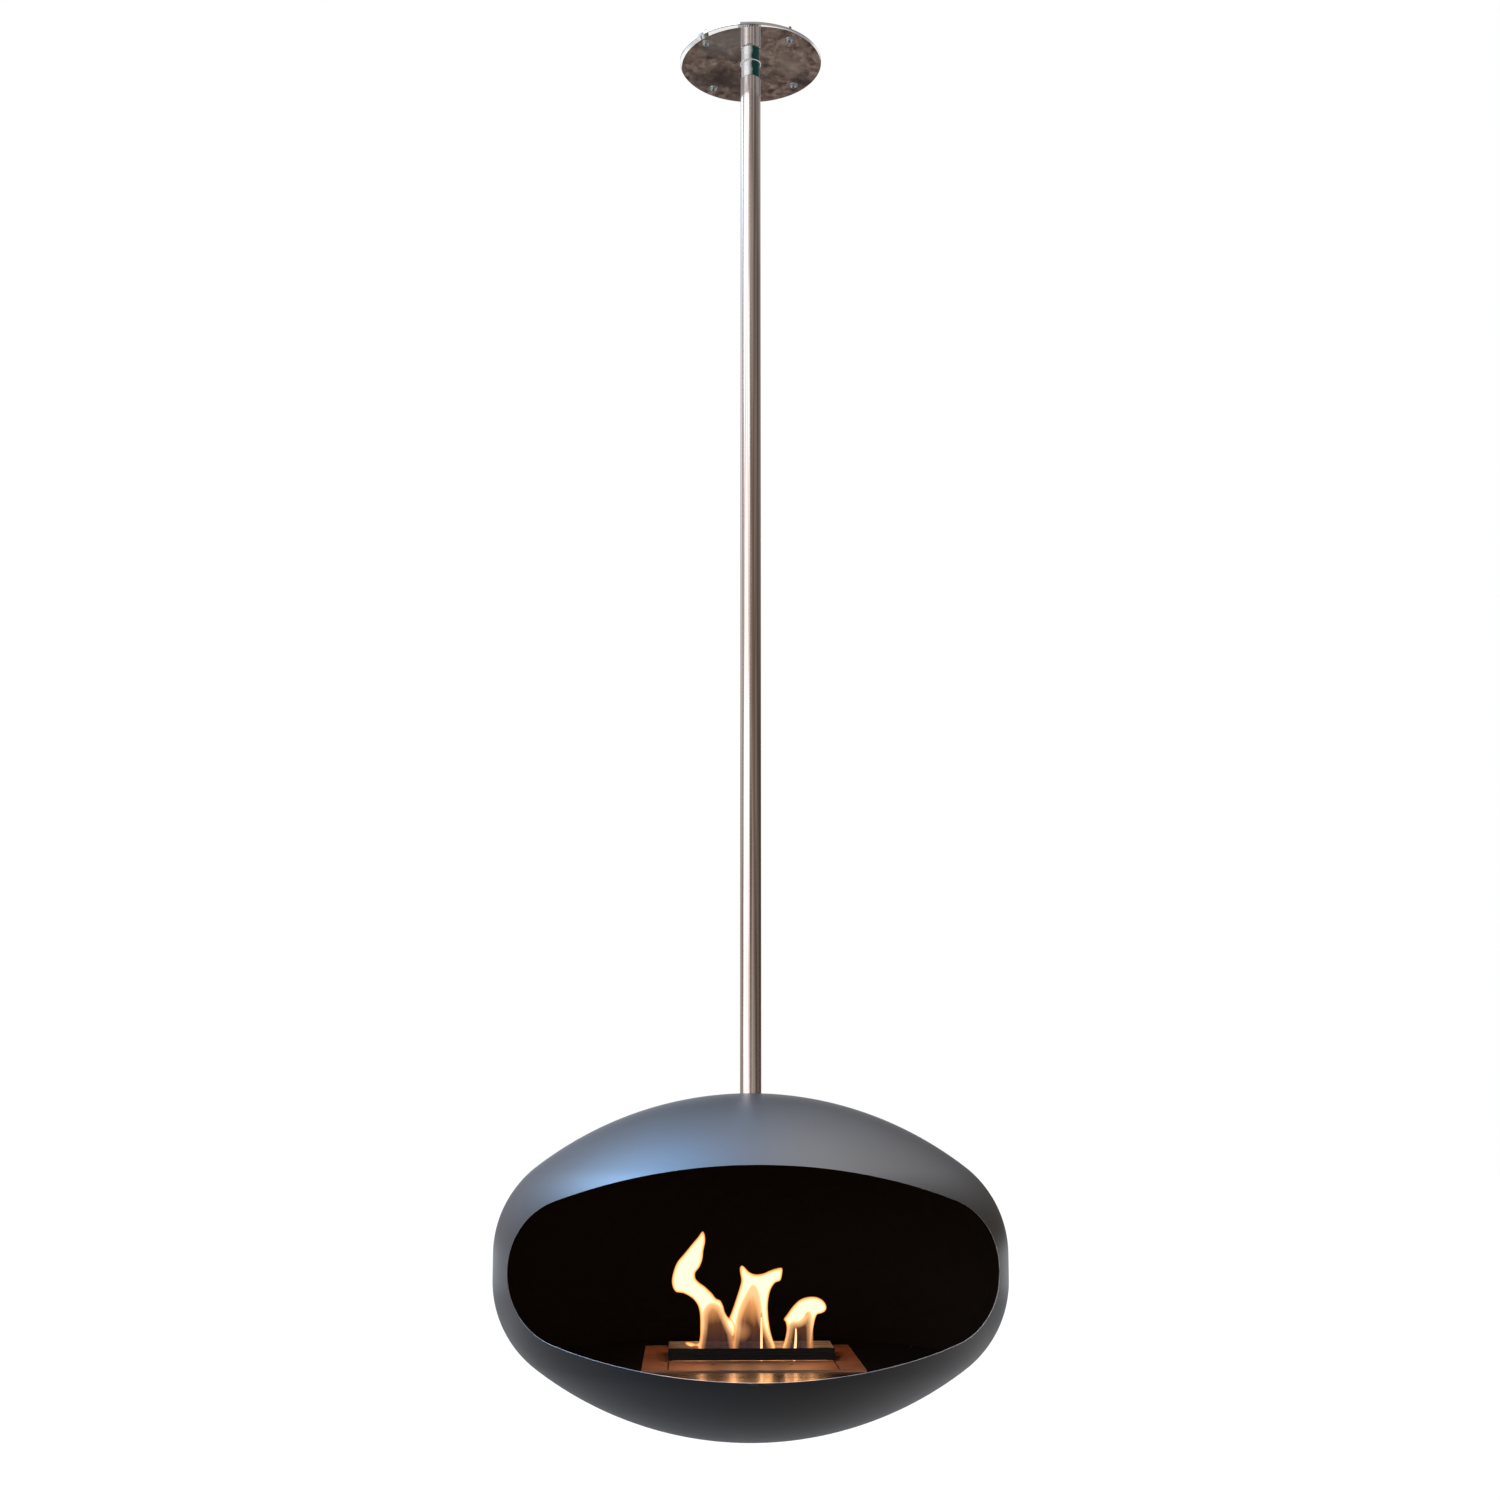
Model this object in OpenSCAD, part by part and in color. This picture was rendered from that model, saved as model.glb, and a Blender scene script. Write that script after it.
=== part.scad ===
// Hanging fireplace: a spun steel body with an oval mouth hangs from a ceiling plate on a
// swivelling pole. An ethanol burner with a sliding flame lid is let into its floor.
// The origin is the centre of the ceiling plate's upper face. The mouth faces -Y.

/* [Ceiling plate] */
// Diameter of the ceiling plate
plate_d = 270; // [200:5:320]
// Thickness of the ceiling plate
plate_t = 5; // [3:0.5:10]
// Polished edge break of the ceiling plate
plate_edge = 1; // [0.4:0.1:1.4]
// Diameter of the circle that the screws stand on
screw_pcd = 222; // [120:2:232]
// Turn of the screw pattern from the diagonals
screw_turn = -6; // [-45:1:45]
// Diameter of a screw's shank
screw_d = 8; // [6:0.5:10]
// Width of the gap around a shank in its hole
screw_gap = 1.2; // [1.2:0.1:2]
// Length of a shank above the plate
screw_reach = 20; // [10:1:90]
// Diameter of a screw's flange
screw_flange_d = 16; // [14:0.5:24]
// Thickness of a screw's flange
screw_flange_t = 1.6; // [1:0.2:3]
// Diameter of a screw's domed head
screw_head_d = 12.5; // [11:0.5:14]
// Height of the dome above its flange
screw_head_h = 3.4; // [2.6:0.2:5]
// Width across flats of the key socket in a screw's head
screw_key = 5; // [4:0.5:6]

/* [Swivel] */
// Outer diameter of the swivel neck
neck_d = 35; // [32:1:42]
// Height of the neck below the plate
neck_h = 30; // [22:1:50]
// Diameter of the pocket in the neck
pocket_d = 25; // [24.6:0.2:27]
// Thickness of the neck's floor, which carries the load
neck_floor = 6; // [4:0.5:10]
// Radius of the polished weld where the neck meets the plate
neck_weld_r = 2; // [1:0.5:4]
// Diameter of the swivel bolt
swivel_d = 12; // [8:1:13]
// Wall of the flanged bronze bush
bush_wall = 2; // [1.5:0.25:3]
// Outer diameter of the bush's flange
bush_flange_d = 23.6; // [20:0.2:24]
// Thickness of the bush's flange
bush_flange_t = 2; // [1.5:0.25:3]
// Thickness of the hardened thrust washer
thrust_t = 2.5; // [1.5:0.25:3]
// Height of the swivel nut
swivel_nut_h = 10; // [6:0.5:10]
// Width across flats of the swivel nut and bolt head
swivel_flats = 19; // [15:0.5:20]
// Height of the swivel bolt's head
swivel_head_h = 7.5; // [5:0.5:9]
// Thickness of the plastic slip ring on top of the pole
slip_t = 1; // [0.5:0.1:2]

/* [Pole] */
// Drop from the ceiling plate's lower face to the top of the body
drop = 1960; // [700:10:3000]
// Outer diameter of the pole
tube_d = 38; // [36:0.5:45]
// Wall of the pole
tube_wall = 2; // [1.5:0.25:2.5]
// Thickness of the flange that closes the top of the pole
head_flange_t = 4; // [3:0.5:8]
// Length of the top plug inside the pole
head_plug_l = 25; // [18:1:40]
// Length of the solid foot inside the pole's lower end
foot_l = 52; // [40:1:65]

/* [Body] */
// Diameter of the body
body_d = 900; // [820:10:1100]
// Height of the body
body_h = 596; // [560:4:640]
// Height of each dish's straight flange at the widest line
flange_h = 22; // [10:1:30]
// Radius of the rounded knuckle between flange and crown
knuckle_r = 186; // [170:2:200]
// Thickness of the spun sheet
sheet_t = 3; // [2:0.25:4]

/* [Mouth] */
// Width of the mouth
mouth_w = 820; // [760:5:860]
// Height of the mouth above the widest line
mouth_top = 180; // [165:1:195]
// Height of the mouth below the widest line
mouth_low = 152; // [142:1:158]
// Radius at the mouth's upper corners
mouth_top_r = 139; // [110:1:150]
// Radius at the mouth's lower corners
mouth_low_r = 122; // [100:1:135]

/* [Hanger] */
// Diameter of the domed plate that stiffens the crown
crown_plate_d = 200; // [150:5:300]
// Thickness of the crown plate
crown_plate_t = 3; // [2:0.5:6]
// Diameter of the socket's flange
socket_flange_d = 120; // [96:2:140]
// Thickness of the socket's flange
socket_flange_t = 8; // [5:0.5:12]
// Outer diameter of the socket's barrel
socket_d = 50; // [48:1:60]
// Length of the socket below the crown plate
socket_l = 84; // [70:1:100]
// Thickness of the four gussets
gusset_t = 5; // [3:0.5:8]
// Height of the gussets along the barrel
gusset_h = 42; // [25:1:44]
// Diameter of the cross bolt
cross_d = 10; // [8:0.5:11]
// Height of the cross bolt above the socket's lower end
cross_up = 24; // [18:1:26]
// Thickness of a cross bolt washer
cross_washer_t = 2; // [1:0.5:3]
// Diameter of a cross bolt washer
cross_washer_d = 20; // [19:0.5:24]
// Width across flats of the cross bolt's head and nut
cross_flats = 16; // [14:0.5:18]
// Height of the cross bolt's head
cross_head_h = 6.4; // [5:0.2:8]
// Height of the cross bolt's nut
cross_nut_h = 8; // [6:0.5:10]
// Length of the cross bolt past its nut
cross_tail = 3; // [1:0.5:6]

/* [Floor] */
// Depth of the floor's upper face below the widest line
floor_down = 165; // [161:0.5:168]
// Thickness of the floor plate and the front sill
floor_t = 3; // [2:0.5:4]
// Distance of the floor plate's straight front edge from the pole's axis
floor_front = 231; // [215:1:250]
// Gap between the floor plate and the front sill
floor_seam = 3; // [1:0.5:6]
// Gap between the floor plate's round edge and the shell
floor_gap = 3; // [1:0.5:8]
// Width of the ledge that carries the floor plate's front edge
ledge_w = 30; // [20:1:40]
// Thickness of the ledge
ledge_t = 3; // [2:0.5:5]
// Width of a floor bracket
bracket_w = 32; // [24:1:50]
// Length of a floor bracket's shelf inside the shell
bracket_l = 42; // [34:1:60]
// Thickness of a floor bracket's sheet
bracket_t = 3; // [2:0.5:5]
// Height of a bracket's web
web_h = 26; // [16:1:40]
// Diameter of a floor screw
floor_screw_d = 5; // [4:0.5:6]
// Diameter of a floor screw's head
floor_head_d = 9.5; // [8.5:0.5:12]
// Height of a floor screw's head
floor_head_h = 2.7; // [2:0.1:4]
// Length of a floor screw below the floor's upper face
floor_screw_l = 12; // [9:1:20]
// Width across flats of the key socket in a floor screw's head
floor_key = 3; // [2.5:0.5:4]

/* [Burner] */
// Width of the burner's tray
tray_w = 375; // [345:5:420]
// Depth of the burner's tray from front to back
tray_l = 360; // [345:5:380]
// Distance of the tray's centre behind the pole's axis
tray_back = 15; // [12:1:20]
// Height of the tray's folded edge
tray_h = 3; // [2.5:0.25:5]
// Thickness of the burner's sheet
burner_t = 1.5; // [1:0.1:2]
// Width of the flame guard
guard_w = 289; // [260:1:310]
// Depth of the flame guard from front to back
guard_l = 109; // [95:1:115]
// Height of the flame guard above the tray
guard_h = 21; // [12:1:40]
// Distance of the flame guard's centre behind the pole's axis
guard_back = 17.5; // [15:0.5:20]
// Thickness of the slide lid
lid_t = 2; // [1.5:0.1:2.5]
// Length of the slide lid from front to back
lid_l = 118; // [112:1:122]
// Travel of the slide lid
lid_travel = 106; // [100:1:108]
// Gap between the lid and what guides it at the sides and ends
lid_gap = 0.5; // [0.3:0.1:1]
// Gap below the lid
lid_float = 0.3; // [0.2:0.1:0.6]
// Diameter of the tool holes in the lid
tool_d = 6; // [5:0.5:10]
// Distance between the tool holes
tool_pitch = 134; // [80:2:200]
// Distance of the tool holes from the lid's rear edge
tool_in = 48.5; // [40:0.5:60]
// Width of the guide's side strips
guide_w = 7; // [5:0.5:8]
// Length of the fuel tank's mouth from side to side
tank_w = 280; // [240:1:284]
// Width of the fuel tank's mouth from front to back
tank_l = 100; // [80:1:100]
// Depth of the fuel tank
tank_h = 70; // [45:1:80]
// Width of the flange around the tank
tank_lip = 8; // [5:0.5:8]
// Height of the ceramic fibre in the tank
fibre_h = 62; // [30:1:64]

/* [Fits] */
// Clearance of a turning shaft in its bush, on the radius
turn_fit = 0.05; // [0.02:0.01:0.1]
// Clearance of a seated pin, plug or bush, on the radius
seat_fit = 0.02; // [0.01:0.01:0.04]
// Clearance of a piece that slips over another, on the radius
slip_fit = 0.2; // [0.1:0.05:0.4]
// Gap between faces that turn past each other
face_gap = 0.3; // [0.1:0.05:0.5]

/* [Hidden] */
fine = 180;
mid = 64;
small = 32;
over = 1;

// heights of the swivel, downwards from the plate's upper face
neck_top = -plate_t;
neck_end = neck_top - neck_h;
floor_top = neck_end + neck_floor;
thrust_z = floor_top + bush_flange_t + turn_fit;
swivel_nut_z = thrust_z + thrust_t;
swivel_top = swivel_nut_z + swivel_nut_h + over;
slip_top = neck_end - face_gap;
head_top = slip_top - slip_t;
tube_top = head_top - head_flange_t;
head_end = tube_top - head_plug_l;
tube_bore_d = tube_d - 2 * tube_wall;

// the body: dished ends with a crown sphere, a knuckle ring and a straight flange
half_h = body_h / 2;
body_z = neck_top - drop - half_h;
rise = half_h - flange_h;
ring_r = body_d / 2 - knuckle_r;
crown_r = (ring_r * ring_r + rise * rise - knuckle_r * knuckle_r) / (2 * (rise - knuckle_r));
crown_z = half_h - crown_r;
crown_a = atan2(ring_r, flange_h - crown_z);
// height above the widest line at which crown and knuckle meet, inset into the wall
function meet_z(inset) = crown_z + (crown_r - inset) * cos(crown_a);
// radius of the wall at a height from the widest line, inset into the wall
function wall_r(z, inset) = abs(z) > meet_z(inset)
    ? sqrt(pow(crown_r - inset, 2) - pow(abs(z) - crown_z, 2))
    : ring_r + sqrt(pow(knuckle_r - inset, 2) - pow(max(abs(z) - flange_h, 0), 2));

// the hanger
plate_inset = sheet_t + crown_plate_t;
socket_top = half_h - plate_inset;
socket_end = socket_top - socket_l;
cross_z = socket_end + cross_up;
tube_end = body_z + socket_end;
hole_d = tube_d + 2 * slip_fit;

// the floor, with heights from the widest line
floor_z = -floor_down;
floor_low = floor_z - floor_t;
floor_r = wall_r(floor_low, sheet_t) - floor_gap;
bracket_turns = [-30, 30, 90, 150, 210];
bracket_r = floor_r - bracket_l;
floor_screw_r = floor_r - bracket_l / 2;

// the burner, with heights from the widest line
tray_z = floor_z + tray_h;
guard_front = guard_back - guard_l / 2;
channel_w = guard_w - 2 * burner_t;
channel_end = guard_back + guard_l / 2 - burner_t;
channel_l = lid_travel + lid_l + 2 * lid_gap;
channel_y = channel_end - channel_l;
lid_w = channel_w - 2 * lid_gap;
lid_y = channel_y + lid_gap;
lid_top = tray_z - lid_float;
guide_top = tray_z - burner_t;
guide_z = lid_top - lid_t - lid_float;
guide_low = guide_z - burner_t;
guide_out_w = max(channel_w + 2 * guide_w, tank_w + 2 * tank_lip);
guide_front = channel_y - guide_w / 2;
guide_end = max(channel_end + guide_w / 2, guard_back + tank_l / 2 + tank_lip);
tank_low = guide_low - tank_h;

// A hexagonal prism, by its width across flats
module hexagon(flats, h) cylinder(r = flats / 2 / cos(30), h = h, $fn = 6);

// The two ends of a stretch, by its middle and half its length
function about(middle, half) = [middle - half, middle + half];

// A box by its width and its ends in Y and in Z, centred on X
module block(w, y, z) translate([-w / 2, y[0], z[0]]) cube([w, y[1] - y[0], z[1] - z[0]]);

// The solid inside one dished end, inset into its wall, standing on the widest line
module dish(inset) {
    seam = meet_z(inset);
    intersection() {
        translate([0, 0, crown_z]) sphere(r = crown_r - inset, $fn = fine);
        translate([0, 0, seam]) cylinder(r = body_d, h = half_h, $fn = fine);
    }
    rotate_extrude($fn = fine) {
        translate([ring_r, flange_h]) intersection() {
            circle(r = knuckle_r - inset, $fn = fine);
            square([body_d, seam - flange_h]);
        }
        translate([0, flange_h]) square([ring_r + 0.001, seam - flange_h]);
    }
    cylinder(r = body_d / 2 - inset, h = flange_h, $fn = fine);
}

// The hollow below the widest line, out to a given inset
module low_hollow(inset) translate([0, 0, body_z]) rotate([0, 180, 0]) dish(inset);

// Half of the mouth's outline above its widest line: a flat arc between two end arcs
module half_oval(h, end_r) {
    inner = mouth_w / 2 - end_r;
    big = (inner * inner + h * h - end_r * end_r) / (2 * (h - end_r));
    meet = end_r * cos(atan2(inner, big - h));
    intersection() {
        translate([0, h - big]) circle(r = big, $fn = fine);
        translate([-mouth_w / 2, meet]) square([mouth_w, h]);
    }
    for (side = [0, 1]) mirror([side, 0]) translate([inner, 0]) intersection() {
        circle(r = end_r, $fn = fine);
        square([end_r + over, meet]);
    }
    translate([-inner - 0.001, 0]) square([2 * inner + 0.002, meet]);
}

// The cutter for one dish's share of the mouth, a prism along Y through the front of the dish
module mouth_cut(h, end_r) translate([0, -sheet_t, 0]) rotate([90, 0, 0])
    linear_extrude(body_d / 2) {
        half_oval(h, end_r);
        translate([-mouth_w / 2, -over]) square([mouth_w, over]);
    }

// One spun dish without openings, with its flange on the widest line
module spun_dish() difference() {
    dish(0);
    dish(sheet_t);
    translate([0, 0, -over]) cylinder(r = body_d / 2 - sheet_t, h = 2 * over, $fn = fine);
}

module ceiling_plate() color("silver") difference() {
    rotate_extrude($fn = fine) polygon([[0, 0], [plate_d / 2, 0],
        [plate_d / 2, plate_edge - plate_t], [plate_d / 2 - plate_edge, -plate_t], [0, -plate_t]]);
    translate([0, 0, -plate_t - over]) cylinder(d = pocket_d, h = plate_t + 2 * over, $fn = mid);
    at_screws() translate([0, 0, -plate_t - over])
        cylinder(d = screw_d + 2 * screw_gap, h = plate_t + 2 * over, $fn = mid);
}

// Repeats its children at the four ceiling screws
module at_screws() for (i = [0:3])
    rotate([0, 0, 45 + screw_turn + 90 * i]) translate([screw_pcd / 2, 0, 0]) children();

module ceiling_screws() color("gainsboro") at_screws() {
    dome_r = (pow(screw_head_d / 2, 2) + screw_head_h * screw_head_h) / (2 * screw_head_h);
    flange_z = -plate_t - screw_flange_t;
    translate([0, 0, flange_z]) cylinder(d = screw_flange_d, h = screw_flange_t, $fn = mid);
    translate([0, 0, -plate_t - over])
        cylinder(d = screw_d, h = plate_t + screw_reach + over, $fn = mid);
    difference() {
        intersection() {
            translate([0, 0, flange_z - screw_head_h + dome_r]) sphere(r = dome_r, $fn = mid);
            translate([0, 0, flange_z - screw_head_h])
                cylinder(d = screw_flange_d, h = screw_head_h + screw_flange_t / 2, $fn = mid);
        }
        translate([0, 0, flange_z - screw_head_h - over]) hexagon(screw_key, screw_head_h);
    }
}

module swivel_neck() color("silver") difference() {
    rotate_extrude($fn = mid) difference() {
        polygon([[0, neck_end], [neck_d / 2 - plate_edge, neck_end],
            [neck_d / 2, neck_end + plate_edge], [neck_d / 2, neck_top - neck_weld_r],
            [neck_d / 2 + neck_weld_r, neck_top], [0, neck_top]]);
        translate([neck_d / 2 + neck_weld_r, neck_top - neck_weld_r])
            circle(r = neck_weld_r, $fn = small);
    }
    translate([0, 0, floor_top]) cylinder(d = pocket_d, h = neck_h, $fn = mid);
    translate([0, 0, neck_end - over])
        cylinder(r = swivel_d / 2 + turn_fit + bush_wall + seat_fit, h = neck_floor + 2 * over,
            $fn = mid);
}

module swivel_bush() color("darkgoldenrod") difference() {
    union() {
        translate([0, 0, neck_end])
            cylinder(r = swivel_d / 2 + turn_fit + bush_wall, h = neck_floor + over, $fn = mid);
        translate([0, 0, floor_top]) cylinder(d = bush_flange_d, h = bush_flange_t, $fn = mid);
    }
    translate([0, 0, neck_end - over])
        cylinder(r = swivel_d / 2 + turn_fit, h = neck_floor + bush_flange_t + 2 * over, $fn = mid);
}

module swivel_bolt() color("dimgray") {
    translate([0, 0, head_end]) cylinder(d = swivel_d, h = swivel_top - head_end, $fn = mid);
    translate([0, 0, head_end - swivel_head_h]) hexagon(swivel_flats, swivel_head_h);
}

module thrust_washer() color("slategray") translate([0, 0, thrust_z]) difference() {
    cylinder(d = bush_flange_d, h = thrust_t, $fn = mid);
    translate([0, 0, -over]) cylinder(r = swivel_d / 2 + slip_fit, h = thrust_t + 2 * over, $fn = mid);
}

module swivel_nut() color("dimgray") translate([0, 0, swivel_nut_z]) difference() {
    hexagon(swivel_flats, swivel_nut_h);
    translate([0, 0, -over])
        cylinder(r = swivel_d / 2 + seat_fit, h = swivel_nut_h + 2 * over, $fn = mid);
}

module slip_ring() color("white") translate([0, 0, head_top]) difference() {
    cylinder(d = neck_d - plate_edge, h = slip_t, $fn = mid);
    translate([0, 0, -over]) cylinder(r = swivel_d / 2 + slip_fit, h = slip_t + 2 * over, $fn = mid);
}

module pole_head() color("lightgray") difference() {
    rotate_extrude($fn = mid) polygon([[0, head_top], [tube_d / 2 - plate_edge, head_top],
        [tube_d / 2, head_top - plate_edge], [tube_d / 2, tube_top],
        [tube_bore_d / 2 - seat_fit, tube_top], [tube_bore_d / 2 - seat_fit, head_end], [0, head_end]]);
    translate([0, 0, head_end - over])
        cylinder(r = swivel_d / 2 + seat_fit, h = head_top - head_end + 2 * over, $fn = mid);
}

// The hole for the cross bolt, along X
module cross_hole(clear) translate([0, 0, body_z + cross_z]) rotate([0, 90, 0])
    cylinder(r = cross_d / 2 + clear, h = socket_flange_d, center = true, $fn = mid);

module pole_tube() color("silver") difference() {
    translate([0, 0, tube_end]) cylinder(d = tube_d, h = tube_top - tube_end, $fn = mid);
    translate([0, 0, tube_end - over])
        cylinder(d = tube_bore_d, h = tube_top - tube_end + 2 * over, $fn = mid);
    cross_hole(slip_fit);
}

module pole_foot() color("lightgray") difference() {
    translate([0, 0, tube_end]) cylinder(r = tube_bore_d / 2 - seat_fit, h = foot_l, $fn = mid);
    cross_hole(slip_fit);
}

module upper_shell() color([0.3, 0.31, 0.33]) translate([0, 0, body_z]) difference() {
    spun_dish();
    cylinder(d = hole_d, h = half_h + over, $fn = mid);
    mouth_cut(mouth_top, mouth_top_r);
}

// The same dish turned over about Y, so its mouth faces the same way
module lower_shell() color([0.26, 0.27, 0.29]) translate([0, 0, body_z]) rotate([0, 180, 0])
    difference() {
        spun_dish();
        mouth_cut(mouth_low, mouth_low_r);
    }

module crown_plate() color("dimgray") translate([0, 0, body_z]) difference() {
    intersection() {
        translate([0, 0, crown_z]) sphere(r = crown_r - sheet_t, $fn = fine);
        cylinder(d = crown_plate_d, h = half_h, $fn = fine);
    }
    translate([0, 0, crown_z]) sphere(r = crown_r - plate_inset, $fn = fine);
    cylinder(d = hole_d, h = half_h, $fn = mid);
}

module hanger_socket() color("darkslategray") difference() {
    translate([0, 0, body_z]) intersection() {
        union() {
            translate([0, 0, socket_end]) cylinder(d = socket_d, h = socket_l, $fn = mid);
            translate([0, 0, socket_top - socket_flange_t])
                cylinder(d = socket_flange_d, h = socket_flange_t, $fn = fine);
            for (turn = [45:90:315]) rotate([0, 0, turn]) gusset();
        }
        translate([0, 0, crown_z]) sphere(r = crown_r - plate_inset, $fn = fine);
    }
    translate([0, 0, tube_end - over]) cylinder(d = hole_d, h = socket_l + 2 * over, $fn = mid);
    cross_hole(slip_fit);
}

// A triangular gusset with a cropped toe between the barrel and the flange
module gusset() {
    top = socket_top - socket_flange_t;
    toe = 6;
    rotate([90, 0, 0]) translate([0, 0, -gusset_t / 2]) linear_extrude(gusset_t)
        polygon([[socket_d / 2 - over, top + over], [socket_flange_d / 2 - toe, top + over],
            [socket_flange_d / 2 - toe, top - toe], [socket_d / 2 + toe, top - gusset_h],
            [socket_d / 2 - over, top - gusset_h]]);
}

cross_face = socket_d / 2 + cross_washer_t;

// Turns its children from +Z to +X at the height of the cross bolt
module on_cross() translate([0, 0, body_z + cross_z]) rotate([0, 90, 0]) children();

module cross_bolt() color("dimgray") on_cross() {
    tail = cross_face + cross_nut_h + cross_tail;
    translate([0, 0, -tail]) cylinder(d = cross_d, h = tail + cross_face, $fn = mid);
    translate([0, 0, cross_face]) hexagon(cross_flats, cross_head_h);
}

module cross_washers() color("slategray") on_cross() for (side = [0, 1]) mirror([0, 0, side])
    translate([0, 0, socket_d / 2]) difference() {
        cylinder(d = cross_washer_d, h = cross_washer_t, $fn = mid);
        translate([0, 0, -over])
            cylinder(r = cross_d / 2 + slip_fit, h = cross_washer_t + 2 * over, $fn = mid);
    }

module cross_nut() color("dimgray") on_cross() translate([0, 0, -cross_face - cross_nut_h])
    difference() {
        hexagon(cross_flats, cross_nut_h);
        translate([0, 0, -over])
            cylinder(r = cross_d / 2 + seat_fit, h = cross_nut_h + 2 * over, $fn = mid);
    }

// The fixed front strip of the floor, welded into the shell, with a ledge for the floor plate
module front_sill() color([0.12, 0.12, 0.13]) intersection() {
    low_hollow(sheet_t);
    translate([0, 0, body_z]) {
        edge = floor_front + floor_seam;
        block(body_d, [-body_d / 2, -edge], [floor_low, floor_z]);
        block(2 * (floor_r - ledge_w), [-edge - ledge_w / 2, -edge + ledge_w / 2],
            [floor_low - ledge_t, floor_low]);
    }
}

// Repeats its children at the floor brackets, with +X away from the pole
module at_brackets() for (turn = bracket_turns) rotate([0, 0, turn]) children();

module floor_plate() color([0.14, 0.14, 0.15]) translate([0, 0, body_z + floor_low])
    difference() {
        linear_extrude(floor_t) difference() {
            circle(r = floor_r, $fn = fine);
            translate([-body_d / 2, -floor_front - body_d]) square(body_d);
            translate([-guide_out_w / 2 - over, guide_front - over])
                square([guide_out_w + 2 * over, guide_end - guide_front + 2 * over]);
        }
        at_brackets() translate([floor_screw_r, 0, -over])
            cylinder(r = floor_screw_d / 2 + slip_fit, h = floor_t + 2 * over, $fn = small);
    }

// Angle brackets welded to the shell: a shelf under the floor plate and a web below it
module floor_brackets() color([0.16, 0.16, 0.17]) difference() {
    intersection() {
        low_hollow(sheet_t);
        translate([0, 0, body_z + floor_low - bracket_t]) at_brackets() {
            translate([bracket_r, -bracket_w / 2, 0]) cube([body_d / 2, bracket_w, bracket_t]);
            translate([0, bracket_t / 2, 0]) rotate([90, 0, 0]) linear_extrude(bracket_t)
                polygon([[bracket_r + bracket_t, over], [body_d / 2, over], [body_d / 2, -web_h],
                    [floor_screw_r, -web_h], [bracket_r + bracket_t, -bracket_t]]);
        }
    }
    translate([0, 0, body_z + floor_low - floor_screw_l]) at_brackets()
        translate([floor_screw_r, 0, 0])
            cylinder(r = floor_screw_d / 2 + seat_fit, h = floor_screw_l + over, $fn = small);
}

module floor_screws() color("dimgray") translate([0, 0, body_z + floor_z]) at_brackets()
    translate([floor_screw_r, 0, 0]) {
        dome_r = (pow(floor_head_d / 2, 2) + floor_head_h * floor_head_h) / (2 * floor_head_h);
        translate([0, 0, -floor_screw_l])
            cylinder(d = floor_screw_d, h = floor_screw_l + floor_head_h / 2, $fn = small);
        difference() {
            intersection() {
                translate([0, 0, floor_head_h - dome_r]) sphere(r = dome_r, $fn = small);
                cylinder(d = floor_head_d, h = floor_head_h, $fn = small);
            }
            translate([0, 0, floor_head_h / 2]) hexagon(floor_key, floor_head_h);
        }
    }

// The tray: a flat pan turned down at its edges, cut out where the lid slides
module burner_tray() color("peru") translate([0, 0, body_z]) difference() {
    block(tray_w, about(tray_back, tray_l / 2), [floor_z, tray_z]);
    block(tray_w - 2 * burner_t, about(tray_back, tray_l / 2 - burner_t),
        [floor_z - over, tray_z - burner_t]);
    block(channel_w, [channel_y, channel_end], [floor_z - over, tray_z + over]);
}

// The upstand around the flames; its front wall stays clear of the lid that slides below
module flame_guard() color("lightslategray") translate([0, 0, body_z]) difference() {
    block(guard_w, [guard_front, guard_front + guard_l], [tray_z, tray_z + guard_h]);
    block(channel_w, [guard_front + burner_t, channel_end], [tray_z - over, tray_z + guard_h + over]);
    block(channel_w, [guard_front - over, guard_front + 2 * burner_t], [tray_z - over, tray_z + lid_gap]);
}

// The runway under the tray: strips beside the lid and a sheet below it with the tank's mouth
module lid_guide() color("gray") translate([0, 0, body_z]) difference() {
    block(guide_out_w, [guide_front, guide_end], [guide_low, guide_top]);
    block(channel_w, [channel_y, channel_end], [guide_z, guide_top + over]);
    block(tank_w, about(guard_back, tank_l / 2), [guide_low - over, guide_z + over]);
}

// The lid that throttles the flames, parked in front of the flame guard
module slide_lid() color("peru") translate([0, 0, body_z]) difference() {
    block(lid_w, [lid_y, lid_y + lid_l], [lid_top - lid_t, lid_top]);
    for (x = [-tool_pitch / 2, tool_pitch / 2])
        translate([x, lid_y + lid_l - tool_in, lid_top - lid_t - over])
            cylinder(d = tool_d, h = lid_t + 2 * over, $fn = small);
}

module fuel_tank() color("silver") translate([0, 0, body_z]) difference() {
    union() {
        block(tank_w + 2 * tank_lip, about(guard_back, tank_l / 2 + tank_lip),
            [guide_low - burner_t, guide_low]);
        block(tank_w + 2 * burner_t, about(guard_back, tank_l / 2 + burner_t),
            [tank_low, guide_low]);
    }
    block(tank_w, about(guard_back, tank_l / 2), [tank_low + burner_t, guide_low + over]);
}

module fibre_block() color("ivory") translate([0, 0, body_z])
    block(tank_w - 2 * over, about(guard_back, tank_l / 2 - over),
        [tank_low + burner_t, tank_low + burner_t + fibre_h]);

ceiling_plate();
swivel_neck();
swivel_bush();
ceiling_screws();
swivel_bolt();
thrust_washer();
swivel_nut();
slip_ring();
pole_head();
pole_tube();
pole_foot();
upper_shell();
lower_shell();
crown_plate();
hanger_socket();
cross_bolt();
cross_washers();
cross_nut();
front_sill();
floor_plate();
floor_brackets();
floor_screws();
burner_tray();
flame_guard();
lid_guide();
slide_lid();
fuel_tank();
fibre_block();
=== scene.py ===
import math

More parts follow.
